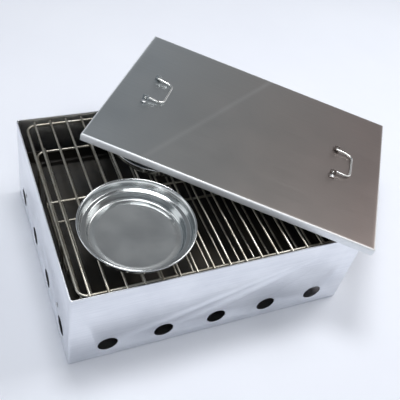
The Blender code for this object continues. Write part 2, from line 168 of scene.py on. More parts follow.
def midpoint(low, high):
    return (low + high) / 2


# materials

def toLinear(hexColour):
    channels = [int(hexColour[k:k + 2], 16) / 255 for k in (1, 3, 5)]
    return [c / 12.92 if c <= 0.04045 else ((c + 0.055) / 1.055) ** 2.4 for c in channels] + [1.0]


def addNode(tree, kind, inputs, stops=(), **settings):
    # adds a node with its settings; an input takes a value, a socket, or another node, which then
    # gives its first live output; stops are the (position, sRGB hex) pairs of a colour ramp
    made = tree.nodes.new("ShaderNode" + kind)
    for key, value in settings.items():
        setattr(made, key, value)
    for key, value in inputs.items():
        if isinstance(value, bpy.types.Node):
            value = [socket for socket in value.outputs if socket.enabled][0]
        if isinstance(value, bpy.types.NodeSocket):
            tree.links.new(value, made.inputs[key])
        else:
            made.inputs[key].default_value = value
    for number, (position, colour) in enumerate(stops):
        band = made.color_ramp.elements
        element = band[number] if number < len(band) else band.new(position)
        element.position = position
        element.color = toLinear(colour)
    return made


def newMaterial(name):
    material = bpy.data.materials.new(name)
    material.use_nodes = True
    material.node_tree.nodes.clear()
    return material, material.node_tree


print("frame loaded,", len(frame["nodes"]), "nodes")

steelValues = {
    "grain": 0.0009,       # spacing of the rolling grain, m; coarser than the real 0.1 mm, to show
    "grainRun": 0.060,     # how long one streak of grain is
    "smudge": 0.055,       # size of the soft handling marks
    "colours": [(0.30, "#D8DBE1"), (0.70, "#F0F2F6")],
    "roughness": (0.20, 0.30), "smudgeRoughness": 0.14,
    "relief": 0.16, "reliefDepth": 0.00004,
}


def makeRolledSteel():
    # bright annealed stainless sheet, cold rolled: pale, softly mirror-like, with faint level streaks
    values = steelValues
    material, tree = newMaterial("brightRolledStainless")
    where = addNode(tree, "TexCoord", {}).outputs["Object"]
    run, across = 1 / values["grainRun"], 1 / values["grain"]
    drawn = addNode(tree, "Mapping", {"Vector": where, "Scale": (run, run, across)})
    streaks = addNode(tree, "TexNoise", {"Vector": drawn, "Scale": 1.0, "Detail": 2.0})
    clouds = addNode(tree, "TexNoise", {"Vector": where, "Scale": 1 / values["smudge"], "Detail": 3.0})
    cloudShade = addNode(tree, "Math", {0: clouds, 1: 0.55}, operation='MULTIPLY')
    shade = addNode(tree, "Math", {0: streaks, 1: 0.45, 2: cloudShade}, operation='MULTIPLY_ADD')
    colour = addNode(tree, "ValToRGB", {"Fac": shade}, values["colours"])
    low, high = values["roughness"]
    grainRough = addNode(tree, "MapRange", {"Value": streaks, "To Min": low, "To Max": high})
    cloudRough = addNode(tree, "MapRange", {"Value": clouds, "To Max": values["smudgeRoughness"]})
    rough = addNode(tree, "Math", {0: grainRough, 1: cloudRough}, operation='ADD')
    relief = addNode(tree, "Bump", {"Height": streaks, "Strength": values["relief"],
                                    "Distance": values["reliefDepth"]})
    shader = addNode(tree, "BsdfPrincipled", {"Base Color": colour, "Metallic": 1.0, "Roughness": rough,
                                              "Normal": relief})
    addNode(tree, "OutputMaterial", {"Surface": shader})
    return material


lidValues = {
    "grain": 0.0008,                          # spacing of the brushing, coarser than real, to show
    "grainRun": 0.120,
    "cloud": 0.0714,                          # size of the soft patches
    "tintSpan": 0.404,                        # the colour changes along the lid's length
    "tint": [(0.05, "#B9C0C4"), (0.30, "#B0B2B2"), (0.60, "#A8A3A0"), (0.95, "#9C908C")],
    "tintDrift": 0.10, "streak": "#6E6C6A", "streakShare": 0.30,
    "reflectionFrom": Vector((0.008, 0.164)),        # a faint painted reflection line crosses the lid from here...
    "reflectionTo": Vector((-0.088, -0.080)),        # ...towards here
    "reflectionWidth": 0.0060, "paintedReflection": "#D2D4D4", "reflectionShare": 0.30,
    "half": Vector((0.202, 0.156)),           # the panel's half length and half width
    "highlitEdgeFrom": -0.0030, "highlitEdgeTo": -0.0006,   # the painted edge highlight starts and is full this far from the edge
    "highlitEdge": "#EDEFF1", "edgeRoughness": 0.26,
    "roughness": (0.24, 0.40), "cloudRoughness": 0.10,
    "relief": 0.22, "reliefDepth": 0.00004,
}


def makeLidSteel():
    # satin stainless sheet, brushed along its length: paler and bluer at the raised end, darker and
    # browner towards the low one, with a painted reflection line and a painted highlight along the edge
    values = lidValues
    material, tree = newMaterial("satinBrushedStainless")
    flat = addNode(tree, "UVMap", {}, uv_map="sheet")
    run, across = 1 / values["grainRun"], 1 / values["grain"]
    drawn = addNode(tree, "Mapping", {"Vector": flat, "Scale": (run, across, 1)})
    brushed = addNode(tree, "TexNoise", {"Vector": drawn, "Scale": 1.0, "Detail": 2.0})
    clouds = addNode(tree, "TexNoise", {"Vector": flat, "Scale": 1 / values["cloud"], "Detail": 3.0})
    split = addNode(tree, "SeparateXYZ", {"Vector": flat})
    along, athwart = split.outputs["X"], split.outputs["Y"]
    place = addNode(tree, "MapRange", {"Value": along, "From Min": -values["tintSpan"] / 2,
                                       "From Max": values["tintSpan"] / 2})
    drift = addNode(tree, "MapRange", {"Value": clouds, "To Min": -values["tintDrift"],
                                       "To Max": values["tintDrift"]})
    drifted = addNode(tree, "Math", {0: place, 1: drift}, operation='ADD')
    tint = addNode(tree, "ValToRGB", {"Fac": drifted}, values["tint"])
    # the painted reflection line: how far a point is off the line between its two ends
    line = values["reflectionTo"] - values["reflectionFrom"]
    side = Vector((-line.y, line.x)).normalized()
    ahead = addNode(tree, "Math", {0: along, 1: side.x}, operation='MULTIPLY')
    offset = addNode(tree, "Math", {0: athwart, 1: side.y, 2: ahead}, operation='MULTIPLY_ADD')
    past = addNode(tree, "Math", {0: offset, 1: side.dot(values["reflectionFrom"])}, operation='SUBTRACT')
    away = addNode(tree, "Math", {0: past}, operation='ABSOLUTE')
    # a pale band along the line paints a reflection into the lid's colour
    paintedReflection = addNode(tree, "MapRange", {"Value": away, "From Max": values["reflectionWidth"],
                                     "To Min": values["reflectionShare"], "To Max": 0.0})
    withReflection = addNode(tree, "Mix", {"Factor": paintedReflection, "A": tint, "B": toLinear(values["paintedReflection"])}, data_type='RGBA')
    share = addNode(tree, "MapRange", {"Value": brushed, "To Max": values["streakShare"]})
    streaked = addNode(tree, "Mix", {"Factor": share, "A": withReflection, "B": toLinear(values["streak"])},
                       data_type='RGBA')
    # the fold and the flange get a painted highlight: paler, and also rougher
    endways = addNode(tree, "Math", {0: along}, operation='ABSOLUTE')
    endways = addNode(tree, "Math", {0: endways, 1: values["half"].x}, operation='SUBTRACT')
    sideways = addNode(tree, "Math", {0: athwart}, operation='ABSOLUTE')
    sideways = addNode(tree, "Math", {0: sideways, 1: values["half"].y}, operation='SUBTRACT')
    outwards = addNode(tree, "Math", {0: endways, 1: sideways}, operation='MAXIMUM')
    highlitEdge = addNode(tree, "MapRange", {"Value": outwards, "From Min": values["highlitEdgeFrom"],
                                      "From Max": values["highlitEdgeTo"]})
    # the pale colour along the fold and flange is a painted highlight
    colour = addNode(tree, "Mix", {"Factor": highlitEdge, "A": streaked, "B": toLinear(values["highlitEdge"])},
                     data_type='RGBA')
    low, high = values["roughness"]
    grainRough = addNode(tree, "MapRange", {"Value": brushed, "To Min": low, "To Max": high})
    cloudRough = addNode(tree, "MapRange", {"Value": clouds, "To Max": values["cloudRoughness"]})
    rough = addNode(tree, "Math", {0: grainRough, 1: cloudRough}, operation='ADD')
    rough = addNode(tree, "Math", {0: highlitEdge, 1: values["edgeRoughness"], 2: rough}, operation='MULTIPLY_ADD')
    relief = addNode(tree, "Bump", {"Height": brushed, "Strength": values["relief"],
                                    "Distance": values["reliefDepth"]})
    shader = addNode(tree, "BsdfPrincipled", {"Base Color": colour, "Metallic": 1.0, "Roughness": rough,
                                              "Normal": relief})
    addNode(tree, "OutputMaterial", {"Surface": shader})
    return material


coatValues = {
    "bloom": 0.0455,           # size of the smoke's brown patches
    "speck": 0.00111,          # size of the sprayed coat's grain
    "colours": [(0.35, "#282827"), (0.62, "#3A352E"), (0.85, "#4B4034")],
    "roughness": (0.34, 0.62), "speckRoughness": 0.05, "ior": 1.5,
    "relief": 0.25, "reliefDepth": 0.00008,
}


def makeDarkCoat():
    # baked black non-stick coat on steel, dulled by smoke: near black, with a brown bloom in patches
    values = coatValues
    material, tree = newMaterial("bakedBlackCoat")
    where = addNode(tree, "TexCoord", {}).outputs["Object"]
    bloom = addNode(tree, "TexNoise", {"Vector": where, "Scale": 1 / values["bloom"], "Detail": 5.0,
                                       "Roughness": 0.6})
    speck = addNode(tree, "TexNoise", {"Vector": where, "Scale": 1 / values["speck"], "Detail": 2.0})
    colour = addNode(tree, "ValToRGB", {"Fac": bloom}, values["colours"])
    low, high = values["roughness"]
    bloomRough = addNode(tree, "MapRange", {"Value": bloom, "To Min": low, "To Max": high})
    speckRough = addNode(tree, "MapRange", {"Value": speck, "To Min": -values["speckRoughness"],
                                            "To Max": values["speckRoughness"]})
    rough = addNode(tree, "Math", {0: bloomRough, 1: speckRough}, operation='ADD')
    relief = addNode(tree, "Bump", {"Height": speck, "Strength": values["relief"],
                                    "Distance": values["reliefDepth"]})
    shader = addNode(tree, "BsdfPrincipled", {"Base Color": colour, "Roughness": rough, "Normal": relief,
                                              "Metallic": 0.0, "IOR": values["ior"]})
    addNode(tree, "OutputMaterial", {"Surface": shader})
    return material


wireValues = {
    "tarnish": 0.0222,         # size of the brown patches
    "pits": 0.000714,          # size of the plating's pits
    "colours": [(0.30, "#CBC8BF"), (0.55, "#ACA79B"), (0.78, "#736B5C")],
    "roughness": (0.16, 0.52), "relief": 0.12, "reliefDepth": 0.00004,
}


def makeRackWire():
    # chrome-plated steel wire, tarnished by smoke: grey-brown, still glossy, with matt brown patches
    values = wireValues
    material, tree = newMaterial("smokedChromeWire")
    where = addNode(tree, "TexCoord", {}).outputs["Object"]
    tarnish = addNode(tree, "TexNoise", {"Vector": where, "Scale": 1 / values["tarnish"], "Detail": 4.0,
                                         "Roughness": 0.6})
    pits = addNode(tree, "TexNoise", {"Vector": where, "Scale": 1 / values["pits"], "Detail": 2.0})
    colour = addNode(tree, "ValToRGB", {"Fac": tarnish}, values["colours"])
    low, high = values["roughness"]
    rough = addNode(tree, "MapRange", {"Value": tarnish, "To Min": low, "To Max": high})
    relief = addNode(tree, "Bump", {"Height": pits, "Strength": values["relief"],
                                    "Distance": values["reliefDepth"]})
    shader = addNode(tree, "BsdfPrincipled", {"Base Color": colour, "Metallic": 1.0, "Roughness": rough,
                                              "Normal": relief})
    addNode(tree, "OutputMaterial", {"Surface": shader})
    return material


dishValues = {
    "ringPitch": 0.0011,       # spacing of the turning marks in the pressed floor
    "ringEdge": 0.0580,        # they stop here, at the foot of the wall
    "waver": 0.0333,           # size of the patches that make the marks waver
    "colours": [(0.30, "#C2C5C6"), (0.70, "#D2D5D5")],
    "roughness": (0.12, 0.19), "ringRoughness": 0.02, "waverRoughness": 0.05,
    "relief": 0.04, "reliefDepth": 0.00003,
}


def makeDishSteel(name, centre):
    # bright stainless pressed over a turned die: mirror-like walls, faint turning rings on the floor
    values = dishValues
    material, tree = newMaterial(name)
    where = addNode(tree, "TexCoord", {}).outputs["Object"]
    middle = addNode(tree, "Mapping", {"Vector": where, "Location": -centre})
    flat = addNode(tree, "VectorMath", {0: middle, 1: (1, 1, 0)}, operation='MULTIPLY')
    radius = addNode(tree, "VectorMath", {0: flat}, operation='LENGTH')
    waver = addNode(tree, "TexNoise", {"Vector": where, "Scale": 1 / values["waver"], "Detail": 2.0})
    turns = addNode(tree, "Math", {0: radius, 1: 2 * pi / values["ringPitch"]}, operation='MULTIPLY')
    turns = addNode(tree, "Math", {0: waver, 1: 3.0, 2: turns}, operation='MULTIPLY_ADD')
    rings = addNode(tree, "Math", {0: turns}, operation='SINE')
    onFloor = addNode(tree, "Math", {0: radius, 1: values["ringEdge"]}, operation='LESS_THAN')
    rings = addNode(tree, "Math", {0: rings, 1: onFloor}, operation='MULTIPLY')
    shade = addNode(tree, "Math", {0: rings, 1: 0.12, 2: waver}, operation='MULTIPLY_ADD')
    colour = addNode(tree, "ValToRGB", {"Fac": shade}, values["colours"])
    low, high = values["roughness"]
    floorRough = addNode(tree, "MapRange", {"Value": onFloor, "To Min": low, "To Max": high})
    waverRough = addNode(tree, "MapRange", {"Value": waver, "To Max": values["waverRoughness"]})
    rough = addNode(tree, "Math", {0: floorRough, 1: waverRough}, operation='ADD')
    rough = addNode(tree, "Math", {0: rings, 1: values["ringRoughness"], 2: rough}, operation='MULTIPLY_ADD')
    relief = addNode(tree, "Bump", {"Height": rings, "Strength": values["relief"],
                                    "Distance": values["reliefDepth"]})
    shader = addNode(tree, "BsdfPrincipled", {"Base Color": colour, "Metallic": 1.0, "Roughness": rough,
                                              "Normal": relief})
    addNode(tree, "OutputMaterial", {"Surface": shader})
    return material


nickelValues = {
    "wear": 0.00833,           # size of the duller patches
    "colours": [(0.3, "#E4E4E0"), (0.7, "#F8F8F6")],
    "roughness": (0.10, 0.24),
}


def makeBrightWire():
    # nickel-plated spring wire: clean, bright and hard-edged in its reflections, worn dull in patches
    values = nickelValues
    material, tree = newMaterial("nickelPlatedWire")
    where = addNode(tree, "TexCoord", {}).outputs["Object"]
    wear = addNode(tree, "TexNoise", {"Vector": where, "Scale": 1 / values["wear"], "Detail": 3.0})
    colour = addNode(tree, "ValToRGB", {"Fac": wear}, values["colours"])
    low, high = values["roughness"]
    rough = addNode(tree, "MapRange", {"Value": wear, "To Min": low, "To Max": high})
    shader = addNode(tree, "BsdfPrincipled", {"Base Color": colour, "Metallic": 1.0, "Roughness": rough})
    addNode(tree, "OutputMaterial", {"Surface": shader})
    return material


aluminiumValues = {
    "grit": 0.00143,           # size of the tumbled finish's grit
    "colours": [(0.3, "#BDBEC0"), (0.7, "#DCDDDE")],
    "roughness": (0.26, 0.44), "relief": 0.10, "reliefDepth": 0.00003,
}


def makeRivetMetal():
    # plain aluminium blind rivet: pale, satin and finely gritty
    values = aluminiumValues
    material, tree = newMaterial("plainAluminium")
    where = addNode(tree, "TexCoord", {}).outputs["Object"]
    grit = addNode(tree, "TexNoise", {"Vector": where, "Scale": 1 / values["grit"], "Detail": 3.0})
    colour = addNode(tree, "ValToRGB", {"Fac": grit}, values["colours"])
    low, high = values["roughness"]
    rough = addNode(tree, "MapRange", {"Value": grit, "To Min": low, "To Max": high})
    relief = addNode(tree, "Bump", {"Height": grit, "Strength": values["relief"],
                                    "Distance": values["reliefDepth"]})
    shader = addNode(tree, "BsdfPrincipled", {"Base Color": colour, "Metallic": 1.0, "Roughness": rough,
                                              "Normal": relief})
    addNode(tree, "OutputMaterial", {"Surface": shader})
    return material


rolledSteel = makeRolledSteel()
lidSteel = makeLidSteel()
darkCoat = makeDarkCoat()
rackWire = makeRackWire()
brightWire = makeBrightWire()
rivetMetal = makeRivetMetal()
print("materials made")


# sheet metal

def foldedTray(name, length, depth, height, values):
    # the outer skin of a folded tray, standing on z = 0 with its open side up
    deselectAll()
    bpy.ops.mesh.primitive_cube_add(size=1, location=(0, 0, height / 2), scale=(length, depth, height))
    tray = startPiece(name)
    edit(tray, 'FACE')
    pick(tray, lambda face: face.normal.z > 0.5)
    bpy.ops.mesh.delete(type='FACE')
    bpy.ops.mesh.select_mode(type='EDGE')
    pick(tray, lambda edge: not edge.is_boundary)
    bpy.ops.mesh.bevel(offset=values["bend"], segments=values["bendSteps"], affect='EDGES')
    leaveEdit()
    return tray


def turnRim(tray, length, depth, height, values):
    # folds the rim over inwards, round a small bend, and down inside the wall as a hem
    edit(tray, 'EDGE')
    pick(tray, lambda edge: edge.is_boundary)
    bend, steps = values["hemBend"], values["hemSteps"]
    bpy.ops.transform.translate(value=(0, 0, -bend))
    inset, level = 0.0, height - bend
    for step in range(1, steps + 1):
        angle = pi * step / steps
        nextInset, nextLevel = bend * (1 - cos(angle)), height - bend + bend * sin(angle)
        bpy.ops.mesh.extrude_region()
        bpy.ops.transform.resize(value=((length - 2 * nextInset) / (length - 2 * inset),
                                        (depth - 2 * nextInset) / (depth - 2 * inset), 1),
                                 center_override=(0, 0, level))
        bpy.ops.transform.translate(value=(0, 0, nextLevel - level))
        inset, level = nextInset, nextLevel
    bpy.ops.mesh.extrude_region()
    bpy.ops.transform.translate(value=(0, 0, -values["hemDrop"]))
    leaveEdit()


def thicken(tray, sheet):
    applyModifier(tray, 'SOLIDIFY', thickness=sheet, offset=-1, use_even_offset=True)


baseLow, baseHigh = corners("base_shell")
baseSize = baseHigh - baseLow
baseValues = {
    "sheet": 0.0008, "bend": 0.0030, "bendSteps": 6,
    "hemBend": 0.00082, "hemSteps": 5, "hemDrop": 0.0075,
    "ventRadius": 0.0132, "ventHeight": 0.0290, "ventPitch": 0.0750, "ventsLong": 5, "ventsShort": 4,
    "edgeBreak": 0.00022,          # the pierced edges are slightly rounded
    "tabReach": 0.0140, "tabGap": 0.0003, "tabClear": 0.0120, "tabRound": 0.0040, "tabBreak": 0.00015,
    "weldsHigh": (0.034, 0.072, 0.112), "weldBall": 0.0080, "weldDeep": 0.00025, "weldInset": 0.0085,
}


def spaced(count, pitch):
    return [(index - (count - 1) / 2) * pitch for index in range(count)]


def makeBaseShell():
    values = baseValues
    length, depth, height = baseSize
    shell = foldedTray("baseShell", length, depth, height, values)
    turnRim(shell, length, depth, height, values)
    thicken(shell, values["sheet"])
    radius, up = values["ventRadius"], values["ventHeight"]
    for x in spaced(values["ventsLong"], values["ventPitch"]):
        drill(shell, radius, depth * 1.1, (x, 0, up), (pi / 2, 0, 0), 48)
    for y in spaced(values["ventsShort"], values["ventPitch"]):
        drill(shell, radius, length * 1.1, (0, y, up), (0, pi / 2, 0), 48)
    applyModifier(shell, 'BEVEL', width=values["edgeBreak"], segments=2, limit_method='ANGLE',
                  angle_limit=radians(50))
    # spot welds leave shallow dents on the short walls, where the corner tabs lie behind them
    away = length / 2 + values["weldBall"] - values["weldDeep"]
    for x in (-away, away):
        for y in (-1, 1):
            for z in values["weldsHigh"]:
                deselectAll()
                bpy.ops.mesh.primitive_uv_sphere_add(segments=32, ring_count=24, radius=values["weldBall"],
                                                     location=(x, y * (depth / 2 - values["weldInset"]), z))
                cutWith(shell, bpy.context.object)
    smooth(shell, 30)
    settle(shell, "base", rolledSteel, "base_steel", "base_shell")


def makeCornerTabs():
    # each long wall ends in a tab that turns the corner and is spot welded inside the short wall
    values = baseValues
    length, depth, height = baseSize
    wall = values["sheet"] + values["tabGap"]
    reach, tall = values["tabReach"], height - 2 * values["tabClear"]
    deselectAll()
    bpy.ops.mesh.primitive_plane_add(size=1, location=(length / 2 - wall, 0, height / 2),
                                     rotation=(0, pi / 2, 0))
    tab = startPiece("cornerTab")
    tab.data.transform(Matrix.Translation((0, 0, height / 2)) @ Matrix.Diagonal((1, reach, tall, 1))
                       @ Matrix.Translation((0, 0, -height / 2)))
    tab.data.transform(Matrix.Translation((0, depth / 2 - values["bend"] - reach / 2, 0)))
    edit(tab, 'VERT')
    free = min(vert.co.y for vert in tab.data.vertices)
    pick(tab, lambda vert: vert.co.y < free + tiny)
    bpy.ops.mesh.bevel(offset=values["tabRound"], segments=5, affect='VERTICES')
    leaveEdit()
    applyModifier(tab, 'SOLIDIFY', thickness=values["sheet"], offset=-1)
    if max(vert.co.x for vert in tab.data.vertices) > length / 2 - wall + tiny:
        tab.data.transform(Matrix.Translation((-values["sheet"], 0, 0)))
    applyModifier(tab, 'BEVEL', width=values["tabBreak"], segments=2, limit_method='ANGLE')
    smooth(tab)
    tabs = [tab] + [copyOf(tab, "cornerTab", Matrix.Diagonal((x, y, 1, 1)))
                    for x, y in ((-1, 1), (1, -1), (-1, -1))]
    for twin in tabs[1:3]:                       # one mirrored axis turns a copy inside out
        turnOver(twin)
    for number, twin in enumerate(tabs):
        twin.name = "cornerTab%d" % (number + 1)
        settle(twin, "base", rolledSteel, "base_steel")


makeBaseShell()
makeCornerTabs()
print("base made")

panValues = {"sheet": 0.0008, "bend": 0.0030, "bendSteps": 5,
             "hemBend": 0.00082, "hemSteps": 5, "hemDrop": 0.0040,
             "ribs": 4, "ribWide": 0.0060, "ribHigh": 0.0003, "ribShort": 0.060}
dripValues = {"sheet": 0.0008, "bend": 0.0030, "bendSteps": 5,
              "hemBend": 0.00082, "hemSteps": 5, "hemDrop": 0.0030,
              "wall": 0.0090, "sunk": 0.0016, "margin": 0.0140, "slope": 0.0040,
              "skid": 0.0010, "skidInset": 0.0090, "skidShort": 0.0300, "skidBreak": 0.0001,
              "skidSlots": 5, "slotLong": 0.0260,
              "slotTall": 0.45, "slotRound": 0.2}       # shares of the skid's height


def makeSmokePan():
    values = panValues
    low, high = corners("smoke_pan")
    length, depth, height = high - low
    pan = foldedTray("smokePan", length, depth, height, values)
    turnRim(pan, length, depth, height, values)
    # long shallow ribs pressed up across the floor keep it flat in the flame
    edit(pan, 'FACE')
    pick(pan, lambda face: face.normal.z < -0.9 and face.calc_area() > 0.01)
    bpy.ops.mesh.subdivide(number_cuts=1)
    leaveEdit()
    for x in spaced(values["ribs"], length / (values["ribs"] + 1)):
        edit(pan, 'FACE')
        for offset in (-1, -0.5, 0.5, 1):
            pick(pan, lambda face: face.normal.z < -0.9)
            bpy.ops.mesh.bisect(plane_co=(x + offset * values["ribWide"], 0, 0), plane_no=(1, 0, 0))
        leaveEdit()
        edit(pan, 'VERT')
        pick(pan, lambda vert: abs(vert.co.x - x) < values["ribWide"] * 0.6 and vert.co.z < tiny
             and abs(vert.co.y) < depth / 2 - values["ribShort"] / 2)
        bpy.ops.transform.translate(value=(0, 0, values["ribHigh"]))
        leaveEdit()
    thicken(pan, values["sheet"])
    smooth(pan, 30)
    centre = midpoint(low, high)
    pan.data.transform(Matrix.Translation((centre.x, centre.y, low.z)))
    settle(pan, "smoke_pan", darkCoat, "dark_pan", "smoke_pan")


def makeDripTray():
    values = dripValues
    low, high = corners("drip_tray")
    length, depth, whole = high - low
    tray = foldedTray("dripTray", length, depth, values["wall"], values)
    turnRim(tray, length, depth, values["wall"], values)
    # the floor is pressed down inside a flat margin, so that fat gathers in the middle
    edit(tray, 'FACE')
    pick(tray, lambda face: face.normal.z < -0.9 and face.calc_area() > 0.01)
    bpy.ops.mesh.inset(thickness=values["margin"], depth=0)
    bpy.ops.mesh.inset(thickness=values["slope"], depth=0)
    bpy.ops.transform.translate(value=(0, 0, -values["sunk"]))
    leaveEdit()
    thicken(tray, values["sheet"])
    skids = whole - values["wall"]
    tray.data.transform(Matrix.Translation((0, 0, skids)))
    parts = [tray]
    for side in (-1, 1):
        deselectAll()
        across = side * (length / 2 - values["skidInset"])
        bpy.ops.mesh.primitive_cube_add(size=1, location=(across, 0, skids / 2),
                                        scale=(values["skid"], depth - values["skidShort"], skids))
        skid = startPiece("skid")
        # slots punched through each skid let the smoke out from under the tray
        slotTall = skids * values["slotTall"]
        for y in spaced(values["skidSlots"], depth / (values["skidSlots"] + 1)):
            deselectAll()
            bpy.ops.mesh.primitive_cube_add(size=1, location=(side * length / 2, y, slotTall),
                                            scale=(0.05, values["slotLong"], slotTall))
            slot = startPiece("slot")
            edit(slot, 'EDGE')
            pick(slot, lambda edge: abs((edge.verts[0].co - edge.verts[1].co).x) > 0.01)
            bpy.ops.mesh.bevel(offset=skids * values["slotRound"], segments=5, affect='EDGES')
            leaveEdit()
            cutWith(skid, slot)
        applyModifier(skid, 'BEVEL', width=values["skidBreak"], segments=1, limit_method='ANGLE')
        parts.append(skid)
    tray = joined(parts, "dripTray")
    smooth(tray, 30)
    centre = midpoint(low, high)
    tray.data.transform(Matrix.Translation((centre.x, centre.y, low.z)))
    settle(tray, "drip_tray", darkCoat, "dark_pan", "drip_tray")


makeSmokePan()
makeDripTray()
print("pan and drip tray made")


# wire work

def wirePath(name, length, depth):
    # a flat rectangle of edges in the XY plane, the middle line of a wire
    deselectAll()
    bpy.ops.mesh.primitive_plane_add(size=1)
    path = startPiece(name)
    path.data.transform(Matrix.Diagonal((length, depth, 1, 1)))
    edit(path, 'FACE')
    bpy.ops.mesh.select_all(action='SELECT')
    bpy.ops.mesh.delete(type='ONLY_FACE')
    leaveEdit()
    return path


def roundCorners(path, test, radius, steps=7):
    edit(path, 'VERT')
    pick(path, test)
    bpy.ops.mesh.bevel(offset=radius, offset_type='OFFSET', segments=steps, affect='VERTICES')
    leaveEdit()


def asWire(path, radius, sides=3):
    # the edges become a round wire, as a mesh with welded and slightly rounded ends
    workOn(path)
    bpy.ops.object.convert(target='CURVE')
    curve = bpy.context.object
    curve.data.dimensions = '3D'
    curve.data.bevel_depth = radius
    curve.data.bevel_resolution = sides
    curve.data.use_fill_caps = True
    bpy.ops.object.convert(target='MESH')
    made = bpy.context.object
    edit(made, 'VERT')
    bpy.ops.mesh.select_all(action='SELECT')
    bpy.ops.mesh.remove_doubles(threshold=0.000001)
    bpy.ops.mesh.normals_make_consistent(inside=False)
    leaveEdit()
    applyModifier(made, 'BEVEL', width=radius * 0.25, segments=2, limit_method='ANGLE',
                  angle_limit=radians(60))
    smooth(made, 50)
    return made


rackValues = {
    "frameWire": 0.0020, "barWire": 0.0015, "crossWire": 0.0018, "sink": 0.0004,
    "pitch": 0.0220, "corner": 0.0120, "overhang": 0.0040, "endRound": 0.0006,
    "weldLong": 0.0024, "weldWide": 0.0019, "weldTall": 0.0012,
    "legCorner": 0.0080,
    "upperBars": 17, "lowerBars": 16,
}


def makeRack(level):
    values = rackValues
    body = level + "_rack"
    low, high = corners(body)
    centre = midpoint(low, high)
    barLevel = high.z - values["barWire"]
    frameLevel = barLevel - values["barWire"] - values["frameWire"] + values["sink"]
    halfDepth = (high.y - low.y) / 2 - values["overhang"]
    halfLength = (high.x - low.x) / 2 - values["frameWire"]
    border = wirePath(level + "RackFrame", 2 * halfLength, 2 * halfDepth)
    roundCorners(border, lambda vert: True, values["corner"])
    border = asWire(border, values["frameWire"])
    border.data.transform(Matrix.Translation((centre.x, centre.y, frameLevel)))
    deselectAll()
    bpy.ops.mesh.primitive_cylinder_add(vertices=14, radius=values["crossWire"], depth=2 * halfLength,
                                        location=(centre.x, centre.y, frameLevel), rotation=(0, pi / 2, 0))
    cross = startPiece(level + "RackCross")
    edit(cross, 'EDGE')
    pick(cross, lambda edge: abs(abs(edge.verts[0].co.x - centre.x) - halfLength) < tiny
         and abs(edge.verts[0].co.x - edge.verts[1].co.x) < tiny)
    bpy.ops.mesh.bevel(offset=values["endRound"], segments=2, affect='EDGES')
    leaveEdit()
    smooth(cross)
    border = joined([border, cross], level + "RackFrame")
    settle(border, body, rackWire, "rack_wire", level + "_rack")

    # one bar is drawn with blunted ends, then copied along the frame
    reach = halfDepth + values["overhang"]
    deselectAll()
    bpy.ops.mesh.primitive_cylinder_add(vertices=14, radius=values["barWire"], depth=2 * reach,
                                        location=(0, centre.y, barLevel), rotation=(pi / 2, 0, 0))
    bar = startPiece("bar")
    edit(bar, 'EDGE')
    pick(bar, lambda edge: abs(abs(edge.verts[0].co.y - centre.y) - reach) < tiny
         and abs(edge.verts[0].co.y - edge.verts[1].co.y) < tiny)
    bpy.ops.mesh.bevel(offset=values["endRound"], segments=3, affect='EDGES')
    leaveEdit()
    smooth(bar)
    # each crossing has a small nugget of weld, squeezed out between the wires
    deselectAll()
    bpy.ops.mesh.primitive_uv_sphere_add(segments=10, ring_count=6, radius=1, location=(0, 0, 0),
                                         scale=(values["weldWide"], values["weldLong"], values["weldTall"]))
    weld = startPiece("weld")
    edit(weld, 'VERT')
    pick(weld, lambda vert: vert.co.z < -values["weldTall"] * 0.6)
    bpy.ops.transform.resize(value=(1.25, 1.25, 1), center_override=(0, 0, 0))
    leaveEdit()
    smooth(weld, 60)
    places = [centre.x + x for x in spaced(values[level + "Bars"], values["pitch"])]
    bars = [copyOf(bar, "bar", Matrix.Translation((x, 0, 0))) for x in places]
    seam = barLevel - values["barWire"] + values["sink"] / 2
    rows = [centre.y - halfDepth, centre.y, centre.y + halfDepth]
    welds = [copyOf(weld, "weld", Matrix.Translation((x, y, seam))) for x in places for y in rows]
    for spare in (bar, weld):
        bpy.data.objects.remove(spare, do_unlink=True)
    settle(joined(bars, level + "RackBars"), body, rackWire, "rack_wire")
    settle(joined(welds, level + "RackWelds"), body, rackWire, "rack_wire")


def makeRackLegs(level):
    # each leg is one wire bent to a U, which the rack stands on
    values = rackValues
    for side in ("left", "right"):
        node = "%s_rack_leg_%s" % (level, side)
        low, high = corners(node)
        tall = high.z - low.z - values["frameWire"]
        wide = high.y - low.y - 2 * values["frameWire"]
        leg = wirePath(level + "RackLeg" + side.capitalize(), wide, tall)
        edit(leg, 'EDGE')
        pick(leg, lambda edge: all(vert.co.y > tall * 0.4 for vert in edge.verts))
        bpy.ops.mesh.delete(type='EDGE')
        leaveEdit()
        roundCorners(leg, lambda vert: vert.co.y < 0, values["legCorner"])
        leg = asWire(leg, values["frameWire"])
        stand = Matrix(((0, 0, 1, 0), (1, 0, 0, 0), (0, 1, 0, 0), (0, 0, 0, 1)))    # XY plane to YZ plane
        centre = midpoint(low, high)
        leg.data.transform(Matrix.Translation((centre.x, centre.y, high.z - tall / 2)) @ stand)
        settle(leg, level + "_rack", rackWire, "rack_wire", node)


for level in ("lower", "upper"):
    makeRack(level)
    makeRackLegs(level)
print("racks made")


# turned and pressed round pieces

def growRings(start, rings):
    # from one ring of edges, each next ring is extruded, scaled about the axis and lifted
    radius, level = start
    for nextRadius, nextLevel in rings:
        factor = nextRadius / radius
        bpy.ops.mesh.extrude_region()
        bpy.ops.transform.resize(value=(factor, factor, 1), center_override=(0, 0, level))
        bpy.ops.transform.translate(value=(0, 0, nextLevel - level))
        radius, level = nextRadius, nextLevel


def arc(centreRadius, centreLevel, size, fromTurn, toTurn, steps):
    # points of a round stretch of profile; turns in degrees, 0 points outwards and 90 up
    turns = [radians(fromTurn + (toTurn - fromTurn) * step / steps) for step in range(steps + 1)]
    return [(centreRadius + size * cos(turn), centreLevel + size * sin(turn)) for turn in turns]


